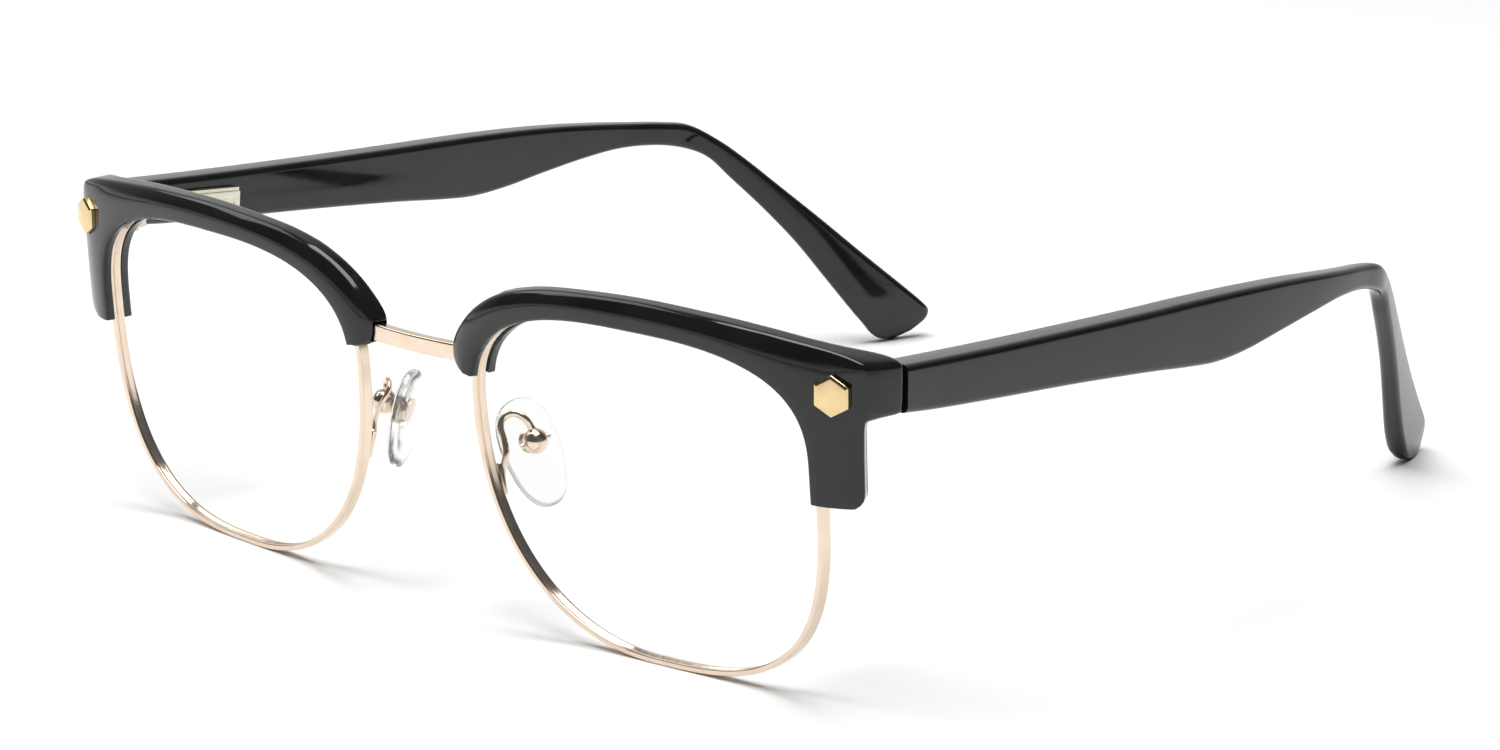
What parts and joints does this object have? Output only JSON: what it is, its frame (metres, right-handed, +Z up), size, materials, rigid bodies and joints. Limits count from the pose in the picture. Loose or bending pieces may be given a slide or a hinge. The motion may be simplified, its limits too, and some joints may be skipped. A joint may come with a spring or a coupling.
{
  "type": "half rim eyeglasses",
  "caption": "Browline spectacles: glossy acetate brows over thin rose gold eyewires, flat bridge bar, adjustable nose pads and folding spring-hinge temples.",
  "frame": {"origin": "on the surface the open glasses stand on, midway across and midway from the front of the brows to the temple tips", "axes": "+X towards the wearer's left, -Y forwards (the way the wearer looks), +Z up"},
  "size_m": [0.1414, 0.1469, 0.0461],
  "materials": {
    "acetate": "polished black cellulose acetate",
    "rose_metal": "polished rose gold plating",
    "stud_gold": "satin gold plating",
    "hinge_metal": "satin nickel silver",
    "silicone": "clear soft silicone",
    "lens": "clear with anti-reflection coating"
  },
  "bodies": {
    "front": {"bridge": "rose_metal", "brow_left": "acetate", "eyewire_left": "rose_metal", "lens_left": "lens", "stud_left": "stud_gold", "rim_lock_left": "rose_metal", "lock_screw_left": "hinge_metal", "front_hinge_left": "hinge_metal", "hinge_screw_left": "hinge_metal", "pad_arm_left": "rose_metal", "pad_box_left": "rose_metal", "pad_pin_left": "hinge_metal", "brow_right": "acetate", "eyewire_right": "rose_metal", "lens_right": "lens", "stud_right": "stud_gold", "rim_lock_right": "rose_metal", "lock_screw_right": "hinge_metal", "front_hinge_right": "hinge_metal", "hinge_screw_right": "hinge_metal", "pad_arm_right": "rose_metal", "pad_box_right": "rose_metal", "pad_pin_right": "hinge_metal"},
    "hinge_bush_left": {"bush_left": "hinge_metal"},
    "spring_carriage_left": {"carriage_left": "hinge_metal"},
    "temple_arm_left": {"temple_left": "acetate", "core_wire_left": "hinge_metal", "hinge_housing_left": "hinge_metal", "flex_spring_left": "hinge_metal"},
    "pad_left": {"nose_pad_left": "silicone", "pad_mount_left": "rose_metal"},
    "hinge_bush_right": {"bush_right": "hinge_metal"},
    "spring_carriage_right": {"carriage_right": "hinge_metal"},
    "temple_arm_right": {"temple_right": "acetate", "core_wire_right": "hinge_metal", "hinge_housing_right": "hinge_metal", "flex_spring_right": "hinge_metal"},
    "pad_right": {"nose_pad_right": "silicone", "pad_mount_right": "rose_metal"}
  },
  "joints": [
    {"name": "fold_left", "type": "hinge", "parent": "front", "child": "hinge_bush_left", "pos_m": [0.0649, -0.0608, 0.0389], "axis": [0, 0, 1], "range_deg": [0, 80]},
    {"name": "flex_left", "type": "hinge", "parent": "hinge_bush_left", "child": "spring_carriage_left", "pos_m": [0.0649, -0.0608, 0.0389], "axis": [0, 0, -1], "range_deg": [0, 12], "stiffness_Nm_per_rad": 0.25},
    {"name": "spring_slide_left", "type": "slide", "parent": "spring_carriage_left", "child": "temple_arm_left", "axis": [-0.0382, 0.9955, -0.0872], "range_m": [0, 0.00126]},
    {"name": "pad_rock_left", "type": "hinge", "parent": "front", "child": "pad_left", "pos_m": [0.0135, -0.0642, 0.0229], "axis": [0.3665, 0.8889, 0.2748], "range_deg": [-6, 6]},
    {"name": "fold_right", "type": "hinge", "parent": "front", "child": "hinge_bush_right", "pos_m": [-0.0649, -0.0608, 0.0389], "axis": [0, 0, -1], "range_deg": [0, 50]},
    {"name": "flex_right", "type": "hinge", "parent": "hinge_bush_right", "child": "spring_carriage_right", "pos_m": [-0.0649, -0.0608, 0.0389], "axis": [0, 0, 1], "range_deg": [0, 12], "stiffness_Nm_per_rad": 0.25},
    {"name": "spring_slide_right", "type": "slide", "parent": "spring_carriage_right", "child": "temple_arm_right", "axis": [0.0382, 0.9955, -0.0872], "range_m": [0, 0.00126]},
    {"name": "pad_rock_right", "type": "hinge", "parent": "front", "child": "pad_right", "pos_m": [-0.0135, -0.0642, 0.0229], "axis": [-0.3665, 0.8889, 0.2748], "range_deg": [-6, 6]}
  ],
  "couplings": [
    {"joint": "spring_slide_left", "follows": "flex_left", "m_per_rad": 0.006},
    {"joint": "spring_slide_right", "follows": "flex_right", "m_per_rad": 0.006}
  ]
}
